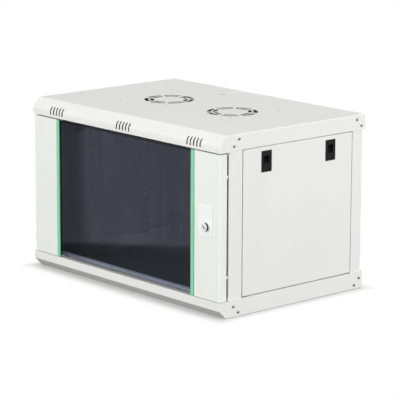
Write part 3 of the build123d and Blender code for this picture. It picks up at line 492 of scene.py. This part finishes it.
def grained(name, grain_sizes, colours, roughness, bump, edge=None, **constants):
    """A surface of two cloudy tones with fine grain and, if given, a painted highlight in another
    tone on its edges.
    """
    material, tree, skin, place = surface(name)
    for socket, value in constants.items():
        skin.inputs[socket.replace("_", " ")].default_value = value
    grains, patches = grain_sizes
    grain = grouped(tree, grain_group, {"Vector": place, "Grains": grains, "Patches": patches})
    tone = blend_colours(tree, grain.outputs["Patch"], *colours)
    normal = None
    if edge is not None:
        radius, breaks, painted_edge_colour = edge
        highlit_edge = grouped(tree, painted_edge_group, {"Vector": place, "Radius": radius, "Breaks": breaks})
        tone = blend_colours(tree, highlit_edge.outputs["Mask"], tone, painted_edge_colour)
        normal = highlit_edge.outputs["Normal"]
    lowest, spread = roughness
    rough = reckon(tree, "MULTIPLY_ADD", grain.outputs["Patch"], spread, lowest)
    strength, depth = bump
    finish_skin(tree, skin, tone, rough, grain.outputs["Height"], strength, depth, normal)
    return material


# The edges carry a painted highlight in a lighter tone
screw_steel = grained(
    "bright_zinc_plate", (2600.0, 300.0), [(0.82, 0.81, 0.78, 1), (0.66, 0.65, 0.62, 1)],
    (0.32, 0.18), (0.10, 0.00005), edge=(0.00015, 700.0, (0.86, 0.86, 0.86, 1)), Metallic=1.0)

fastener_tree = bpy.data.node_groups.new("set_fasteners", "GeometryNodeTree")
for label, kind in (("Seats", "NodeSocketGeometry"), ("Fastener", "NodeSocketObject"),
                    ("Finish", "NodeSocketMaterial"), ("Turn Seed", "NodeSocketInt")):
    fastener_tree.interface.new_socket(label, in_out="INPUT", socket_type=kind)
fastener_tree.interface.new_socket("Fasteners", in_out="OUTPUT", socket_type="NodeSocketGeometry")
start = fastener_tree.nodes.new("NodeGroupInput")
end = fastener_tree.nodes.new("NodeGroupOutput")
shape = put(fastener_tree, "GeometryNodeObjectInfo", {"Object": start.outputs["Fastener"]})
facing = put(fastener_tree, "GeometryNodeInputNamedAttribute", {"Name": "facing"},
             data_type="FLOAT_VECTOR")
upright = put(fastener_tree, "FunctionNodeAlignRotationToVector",
              {"Vector": facing.outputs["Attribute"]}, axis="Z")
spin = put(fastener_tree, "FunctionNodeRandomValue", {
    "Min": (0, 0, -math.pi), "Max": (0, 0, math.pi), "Seed": start.outputs["Turn Seed"]},
    data_type="FLOAT_VECTOR")
spin = put(fastener_tree, "FunctionNodeEulerToRotation", {"Euler": spin.outputs[0]})
stance = put(fastener_tree, "FunctionNodeRotateRotation", {
    "Rotation": upright.outputs["Rotation"], "Rotate By": spin.outputs["Rotation"]},
    rotation_space="LOCAL")
copies = put(fastener_tree, "GeometryNodeInstanceOnPoints", {
    "Points": start.outputs["Seats"], "Instance": shape.outputs["Geometry"],
    "Rotation": stance.outputs["Rotation"]})
real = put(fastener_tree, "GeometryNodeRealizeInstances", {0: copies.outputs["Instances"]})
coated = put(fastener_tree, "GeometryNodeSetMaterial", {
    "Geometry": real.outputs[0], "Material": start.outputs["Finish"]})
fastener_tree.links.new(coated.outputs["Geometry"], end.inputs["Fasteners"])


def set_inputs(modifier, values):
    """Sets a Geometry Nodes modifier's inputs, given by their names."""
    for socket in modifier.node_group.interface.items_tree:
        if socket.in_out == "INPUT" and socket.name in values:
            modifier[socket.identifier] = values[socket.name]


def set_fasteners(name, seats, shape_mesh, finish, seed):
    """One piece of like fasteners, each on a (place, direction of its head) seat."""
    mesh = bpy.data.meshes.new(name)
    mesh.from_pydata([place for place, _ in seats], [], [])
    facing = mesh.attributes.new("facing", "FLOAT_VECTOR", "POINT")
    for item, (_, direction) in zip(facing.data, seats):
        item.vector = direction
    carrier = bpy.data.objects.new(name + "_seats", mesh)
    model = bpy.data.objects.new(name + "_model", shape_mesh)
    for needed in (carrier, model):
        bpy.context.scene.collection.objects.link(needed)
    modifier = carrier.modifiers.new("fasteners", "NODES")
    modifier.node_group = fastener_tree
    set_inputs(modifier, {"Fastener": model, "Finish": finish, "Turn Seed": seed})
    made = evaluated_mesh(carrier)
    for used in (carrier, model):
        bpy.data.objects.remove(used)
    return new_piece(name, made, finish)


def solids_of(name):
    """The lowest and highest corner of each separate solid in a CAD node."""
    shell = bmesh.new()
    shell.from_mesh(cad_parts[name].data)
    bmesh.ops.remove_doubles(shell, verts=shell.verts, dist=1e-6)
    left, found = set(shell.verts), []
    while left:
        waiting, island = [left.pop()], []
        while waiting:
            vertex = waiting.pop()
            island.append(vertex.co.copy())
            for edge in vertex.link_edges:
                other = edge.other_vert(vertex)
                if other in left:
                    left.remove(other)
                    waiting.append(other)
        found.append((Vector(map(min, zip(*island))), Vector(map(max, zip(*island)))))
    shell.free()
    return sorted(found, key=lambda box: tuple(box[0]))


def seats_of(name, axis, sign):
    """Where each screw of a node sits: under its head, with the head's direction."""
    direction = Vector((0, 0, 0))
    direction[axis] = sign
    seats = []
    for low, high in solids_of(name):
        place = (low + high) / 2
        place[axis] = (high if sign > 0 else low)[axis] - sign * head_height
        seats.append((place, direction))
    return seats


for side, sign in (("left", -1), ("right", 1)):
    node = f"corner_screws_{side}"
    screws = set_fasteners(f"case_screws_{side}", seats_of(node, 0, sign), screw_mesh,
                           screw_steel, 3)
    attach(screws, "case")
    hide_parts(node)

screws = set_fasteners("wall_side_screws", seats_of("rear_panel_screws", 1, 1), screw_mesh,
                       screw_steel, 5)
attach(screws, "case")
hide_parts("rear_panel_screws")

cover_shank, point_length, point_radius = 0.0025, 0.0004, 0.0014
cover_profile = head_profile + [
    (shank_radius, point_length - cover_shank), (point_radius, -cover_shank), (0, -cover_shank)]
cover_screw = with_recess(turned_mesh("cover_screw", cover_profile, 24), head_recess,
                          "cover_screw")
middle = (cad_box[0].z + cad_box[1].z) / 2
cover_seats = []
for low, high in solids_of("cable_cover_screws"):
    upper = low.z > middle
    place = (low + high) / 2
    place.z = low.z + head_height if upper else high.z - head_height
    cover_seats.append((place, (0, 0, -1 if upper else 1)))
screws = set_fasteners("cover_screws", cover_seats, cover_screw, screw_steel, 8)
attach(screws, "case")
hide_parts("cable_cover_screws")
dress(screw_steel, "earth_stud", "hinge_pin", "lock_cam_screw")


# Rack rails and depth brackets. They are folded from zinc plated strip, so they keep the
# faint rolling lines of the strip and the cloudy, slightly blue look of clear passivation.

zinc, tree, skin, place = surface("zinc_plated_strip")
skin.inputs["Metallic"].default_value = 1.0
stretched = put(tree, "ShaderNodeMapping", {"Vector": place, "Scale": (1.0, 1.0, 0.04)})
lines = put(tree, "ShaderNodeTexNoise", {
    "Vector": stretched.outputs["Vector"], "Scale": 1500.0, "Detail": 2.0})
crystals = put(tree, "ShaderNodeTexVoronoi", {"Vector": place, "Scale": 240.0})
edge = grouped(tree, painted_edge_group, {"Vector": place, "Radius": 0.0003, "Breaks": 300.0})
grain = grouped(tree, grain_group, {"Vector": place, "Grains": 1800.0, "Patches": 22.0})
crystal = put(tree, "ShaderNodeSeparateColor", {0: crystals.outputs["Color"]}).outputs[0]
tone = blend_colours(tree, crystal, (0.52, 0.55, 0.59, 1), (0.62, 0.64, 0.66, 1))
tone = blend_colours(tree, grain.outputs["Patch"], tone, (0.56, 0.58, 0.58, 1))
# Painted highlight: the edges take a lighter tone
tone = blend_colours(tree, edge.outputs["Mask"], tone, (0.78, 0.79, 0.80, 1))
rough = reckon(tree, "MULTIPLY_ADD", crystal, 0.14, 0.30)
finish_skin(tree, skin, tone, rough, lines.outputs["Fac"], 0.10, 0.00006, edge.outputs["Normal"])
dress(zinc, "lock_cam", "lock_nut", "hinge_bolt_bracket", "hinge_washer")
for side in ("left", "right"):
    dress(zinc, f"depth_bracket_lower_{side}", f"depth_bracket_upper_{side}",
          f"rail_front_{side}", f"rail_rear_{side}")


# Rail bolts. Each rail hangs on four M6 bolts with round heads, a cross recess and a
# hexagon nut behind the bracket; loosening them lets the rail slide in depth.

bolt_head_radius, bolt_head_height, bolt_radius = 0.005, 0.0035, 0.003
bolt_length, bolt_pitch = 0.0095, 0.001
clamp, nut_height, nut_flats, nut_chamfer = 0.0035, 0.005, 0.010, 0.0008
nut_slack = 0.001
bolt_profile = round_head(bolt_head_radius, bolt_head_height, 0.45, 7, 0.0002, 0.96, bolt_radius)
bolt_mesh = turned_mesh(
    "rail_bolt", bolt_profile + thread_profile(bolt_radius, 0, bolt_length, bolt_pitch), 28)
bolt_recess = cross_recess(0.0052, 0.0012, 0.0020, bolt_head_height)
bolt_mesh = with_recess(bolt_mesh, bolt_recess, "rail_bolt")


def nut_mesh(name, across_flats, bore, height, top, chamfer):
    """A hexagon nut with its corners chamfered, as a ring of rows from bore to flats."""
    shell = bmesh.new()
    sides = 36
    angles = [step * 2 * math.pi / sides for step in range(sides)]
    flat, corner = across_flats / 2, across_flats / math.sqrt(3)
    chamfered = (flat + corner) / 2 * 0.97

    def ring(level, radii):
        return [shell.verts.new((radius * math.cos(angle), radius * math.sin(angle), level))
                for radius, angle in zip(radii, angles)]

    hexagon = [flat / math.cos((angle + math.pi / 6) % (math.pi / 3) - math.pi / 6)
               for angle in angles]
    rounded = [min(radius, chamfered) for radius in hexagon]
    rows = [ring(top, rounded), ring(top - chamfer, hexagon),
            ring(top - height + chamfer, hexagon), ring(top - height, rounded),
            ring(top - height, [bore] * sides), ring(top, [bore] * sides)]
    for lower, upper in zip(rows, rows[1:] + rows[:1]):
        for step in range(sides):
            after = (step + 1) % sides
            shell.faces.new((lower[step], lower[after], upper[after], upper[step]))
    bmesh.ops.recalc_face_normals(shell, faces=shell.faces)
    mesh = bpy.data.meshes.new(name)
    shell.to_mesh(mesh)
    shell.free()
    return mesh


def joined_mesh(name, meshes):
    """Several meshes as one."""
    shell = bmesh.new()
    for mesh in meshes:
        shell.from_mesh(mesh)
    made = bpy.data.meshes.new(name)
    shell.to_mesh(made)
    shell.free()
    return made


bolt_and_nut = joined_mesh("rail_bolt_and_nut", [
    bolt_mesh,
    nut_mesh("rail_nut", nut_flats, bolt_radius * 0.98, nut_height, -clamp, nut_chamfer)])
for end_name in ("front", "rear"):
    for side, sign in (("left", 1), ("right", -1)):
        node = f"rail_bolts_{end_name}_{side}"
        heads = []
        for low, high in solids_of(node):
            if high.x - low.x > nut_height + nut_slack:
                seat = (low + high) / 2
                seat.x = (high.x if sign > 0 else low.x) - sign * bolt_head_height
                heads.append((seat, (sign, 0, 0)))
        bolts = set_fasteners(f"rail_fixings_{end_name}_{side}", heads, bolt_and_nut,
                              screw_steel, 11)
        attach(bolts, f"rail_{end_name}_{side}")
        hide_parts(node)


# Side panels. Each is one pressed sheet in the case colour, with two hooks below and
# two windows for its latches; it lifts off once the latches are pushed down.

dress(case_paint, "side_panel_left", "side_panel_right")


# Slide latches. Housing and slide are moulded in black nylon with a fine spark-eroded
# texture; ribs on the finger pad give grip.

def black_nylon(name, colours, highlit_edge, gloss):
    """Nylon dyed black: fine texture, cloudy patches, and a painted highlight on the edges."""
    return grained(name, (3200.0, 160.0), colours, (0.38, 0.2), (0.35, 0.00010),
                   edge=(0.0003, 500.0, highlit_edge), Specular_IOR_Level=gloss)


housing_nylon = black_nylon("black_nylon", [(0.012, 0.012, 0.012, 1), (0.019, 0.019, 0.019, 1)],
                            (0.045, 0.045, 0.047, 1), 0.16)
# Painted shade: the slides take a darker, duller copy of the nylon, for the shade of the recess
# they sit in
slide_nylon_painted_shade = black_nylon("slide_nylon_painted_shade", [(0.004, 0.004, 0.004, 1), (0.008, 0.008, 0.008, 1)],
                          (0.016, 0.016, 0.017, 1), 0.08)
for end_name in ("front", "rear"):
    for side in ("left", "right"):
        dress(housing_nylon, f"latch_housing_{end_name}_{side}")
        dress(slide_nylon_painted_shade, f"latch_slide_{end_name}_{side}")


# Door frame strips. Two folded strips, coated like the case but a shade lighter, are
# bonded to the glass; the left one turns on the hinges, the right one holds the lock.

door_paint = powder_coat(
    "door_powder", (0.800, 0.812, 0.772, 1), (0.780, 0.794, 0.756, 1), (0.87, 0.875, 0.85, 1)
)
dress(door_paint, "door_strip_left", "door_strip_right")


# Door glass. A 4 mm pane of smoked safety glass with ground edges, near black in a narrow band
# along its left, right and top edges, clean but for a trace of wiped haze, bonded to the strips
# with tape.

smoked, tree, skin, place = surface("smoked_glass")
skin.inputs["Transmission Weight"].default_value = 1.0
skin.inputs["IOR"].default_value = 1.5
skin.inputs["Specular Tint"].default_value = (0.70, 0.76, 1.0, 1)
wipe = put(tree, "ShaderNodeMapping", {
    "Vector": place, "Rotation": (0, 0.5, 0), "Scale": (1, 1, 6)})
haze = put(tree, "ShaderNodeTexNoise", {
    "Vector": wipe.outputs["Vector"], "Scale": 3.0, "Detail": 6.0})
tint = blend_colours(tree, haze.outputs["Fac"], (0.38, 0.42, 0.52, 1), (0.40, 0.44, 0.54, 1))
across, _, rise = put(tree, "ShaderNodeSeparateXYZ", {0: place}).outputs
trim_left, trim_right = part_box("door_trim_left")[1].x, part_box("door_trim_right")[0].x
glass_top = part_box("door_glass")[1].z
border_left, border_right, border_top = 0.0030, 0.0015, 0.0040
clear = within(tree, (across, trim_left + border_left, trim_right - border_right),
               (rise, None, glass_top - border_top))
tint = blend_colours(tree, clear, (0.002, 0.002, 0.002, 1), tint)
haze_roughness = 0.015
film = reckon(tree, "MULTIPLY", ramp(tree, haze.outputs["Fac"], 0.45, 0.75), haze_roughness)
tree.links.new(tint, skin.inputs["Base Color"])
tree.links.new(film, skin.inputs["Roughness"])
dress(smoked, "door_glass")

tape = grained(
    "bonding_tape", (2200.0, 60.0), [(0.008, 0.008, 0.008, 1), (0.018, 0.018, 0.018, 1)],
    (0.7, 0.2), (0.4, 0.0002))
dress(tape, "glazing_tape")


# Coloured trims. An extruded, slightly arched strip of green plastic runs down the glass
# beside each frame strip; it is dyed through, with faint lines along the extrusion.

green, tree, skin, place = surface("green_extrusion")
stretched = put(tree, "ShaderNodeMapping", {"Vector": place, "Scale": (1.0, 1.0, 0.01)})
lines = put(tree, "ShaderNodeTexNoise", {
    "Vector": stretched.outputs["Vector"], "Scale": 2400.0, "Detail": 2.0})
clouds = put(tree, "ShaderNodeTexNoise", {"Vector": place, "Scale": 30.0, "Detail": 3.0})
edge = grouped(tree, painted_edge_group, {"Vector": place, "Radius": 0.0004, "Breaks": 300.0})
tone = blend_colours(tree, clouds.outputs["Fac"], (0.215, 0.59, 0.375, 1), (0.245, 0.63, 0.405, 1))
# Painted highlight: the edges take a paler green
tone = blend_colours(tree, edge.outputs["Mask"], tone, (0.38, 0.72, 0.53, 1))
rough = reckon(tree, "MULTIPLY_ADD", lines.outputs["Fac"], 0.15, 0.30)
finish_skin(tree, skin, tone, rough, lines.outputs["Fac"], 0.12, 0.00008, edge.outputs["Normal"])
dress(green, "door_trim_left", "door_trim_right")


# Upper hinge. A bent steel rod runs in two lugs of a folded bracket and a coil spring
# pushes it up into the case; pulling its handle down frees the door.

dress(screw_steel, "hinge_bolt")

spring_low, spring_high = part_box("hinge_bolt_spring")
wire_radius, spring_turns = 0.00045, 5.0
spring_radius = (spring_high.x - spring_low.x) / 2 - wire_radius
spring_tree = bpy.data.node_groups.new("wind_spring", "GeometryNodeTree")
for label, kind in (("Seat", "NodeSocketGeometry"), ("Turns", "NodeSocketFloat"),
                    ("Radius", "NodeSocketFloat"), ("Height", "NodeSocketFloat"),
                    ("Wire", "NodeSocketFloat"), ("Foot", "NodeSocketVector"),
                    ("Finish", "NodeSocketMaterial")):
    spring_tree.interface.new_socket(label, in_out="INPUT", socket_type=kind)
spring_tree.interface.new_socket("Spring", in_out="OUTPUT", socket_type="NodeSocketGeometry")
start = spring_tree.nodes.new("NodeGroupInput")
end = spring_tree.nodes.new("NodeGroupOutput")
coil = put(spring_tree, "GeometryNodeCurveSpiral", {
    "Resolution": 32, "Rotations": start.outputs["Turns"], "Start Radius": start.outputs["Radius"],
    "End Radius": start.outputs["Radius"], "Height": start.outputs["Height"]})
section = put(spring_tree, "GeometryNodeCurvePrimitiveCircle", {
    "Resolution": 12, "Radius": start.outputs["Wire"]}, mode="RADIUS")
wound = put(spring_tree, "GeometryNodeCurveToMesh", {
    "Curve": coil.outputs["Curve"], "Profile Curve": section.outputs["Curve"], "Fill Caps": True})
stood = put(spring_tree, "GeometryNodeTransform", {
    "Geometry": wound.outputs["Mesh"], "Translation": start.outputs["Foot"]})
real = put(spring_tree, "GeometryNodeRealizeInstances", {0: stood.outputs["Geometry"]})
coated = put(spring_tree, "GeometryNodeSetMaterial", {
    "Geometry": real.outputs[0], "Material": start.outputs["Finish"]})
spring_tree.links.new(coated.outputs["Geometry"], end.inputs["Spring"])

seat = bpy.data.meshes.new("spring_seat")
seat.from_pydata([(0, 0, 0)], [], [])
carrier = bpy.data.objects.new("spring_seat", seat)
bpy.context.scene.collection.objects.link(carrier)
modifier = carrier.modifiers.new("spring", "NODES")
modifier.node_group = spring_tree
foot = (spring_low + spring_high) / 2
foot.z = spring_low.z + wire_radius
set_inputs(modifier, {
    "Turns": spring_turns, "Radius": spring_radius, "Wire": wire_radius, "Foot": tuple(foot),
    "Height": spring_high.z - spring_low.z - 2 * wire_radius, "Finish": screw_steel})
spring_mesh = evaluated_mesh(carrier)
bpy.data.objects.remove(carrier)
spring = new_piece("bolt_spring", spring_mesh, screw_steel)
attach(spring, "door")
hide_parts("hinge_bolt_spring")
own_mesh(spring)


# Door bumpers. Two turned buttons of pale soft rubber on the right post keep the door
# from rattling on the case.

# The edges carry a painted highlight in a lighter tone
rubber = grained("pale_rubber", (1500.0, 90.0), [(0.74, 0.73, 0.69, 1), (0.82, 0.81, 0.77, 1)],
                 (0.55, 0.2), (0.3, 0.0001), edge=(0.0004, 200.0, (0.88, 0.87, 0.84, 1)))
dress(rubber, "door_bumpers")


# Cam lock. A white moulded plate surrounds a chromed barrel; the turning plug stands proud
# of it with a slanted keyway, painted black within as its shade, and its face carries the rings of
# its turning.

# The edges carry a painted highlight in a lighter tone
white_plate = grained(
    "white_plate", (1600.0, 40.0), [(0.80, 0.85, 0.83, 1), (0.83, 0.88, 0.86, 1)],
    (0.28, 0.15), (0.12, 0.00008), edge=(0.0004, 240.0, (0.95, 0.97, 0.96, 1)))
dress(white_plate, "lock_plate")

plug_low, plug_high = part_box("lock_plug")
lock_centre = (plug_low + plug_high) / 2
chrome, tree, skin, place = surface("lock_chrome")
skin.inputs["Metallic"].default_value = 0.45
centred = put(tree, "ShaderNodeMapping", {
    "Vector": place, "Location": (-lock_centre.x, 0, -lock_centre.z)})
rings = put(tree, "ShaderNodeTexWave", {
    "Vector": centred.outputs["Vector"], "Scale": 700.0, "Distortion": 0.4, "Detail": 1.0},
    wave_type="RINGS", rings_direction="Y")
grain = grouped(tree, grain_group, {"Vector": place, "Grains": 1200.0, "Patches": 200.0})
edge = grouped(tree, painted_edge_group, {"Vector": place, "Radius": 0.0003, "Breaks": 500.0})
tone = blend_colours(tree, grain.outputs["Patch"], (0.90, 0.90, 0.90, 1), (0.95, 0.95, 0.95, 1))
depth = put(tree, "ShaderNodeSeparateXYZ", {0: place}).outputs[1]
face = plug_low.y
rim_depth, flange_depth, keyway_radius, keyway_depth = 0.0014, 0.0059, 0.0052, 0.0002
# Painted shade: a band of the barrel between the plug's rim and the flange is painted near black,
# for the dark crescent of its side
plug_side_painted_shade = within(tree, (depth, face + rim_depth, face + flange_depth))
tone = blend_colours(tree, plug_side_painted_shade, tone, (0.05, 0.05, 0.053, 1))
off_axis = put(tree, "ShaderNodeVectorMath", {0: centred.outputs["Vector"], 1: (1, 0, 1)},
               operation="MULTIPLY").outputs["Vector"]
off_axis = put(tree, "ShaderNodeVectorMath", {0: off_axis}, operation="LENGTH").outputs["Value"]
# Painted shade: the walls and floor of the keyway are painted near black
keyway_painted_shade = within(tree, (off_axis, None, keyway_radius), (depth, face + keyway_depth, None))
tone = blend_colours(tree, edge.outputs["Mask"], tone, (0.86, 0.86, 0.86, 1))
tone = blend_colours(tree, keyway_painted_shade, tone, (0.01, 0.01, 0.01, 1))
rough = reckon(tree, "MULTIPLY_ADD", grain.outputs["Patch"], 0.10, 0.14)
finish_skin(tree, skin, tone, rough, rings.outputs["Fac"], 0.05, 0.00004, edge.outputs["Normal"])
dress(chrome, "lock_body", "lock_plug")
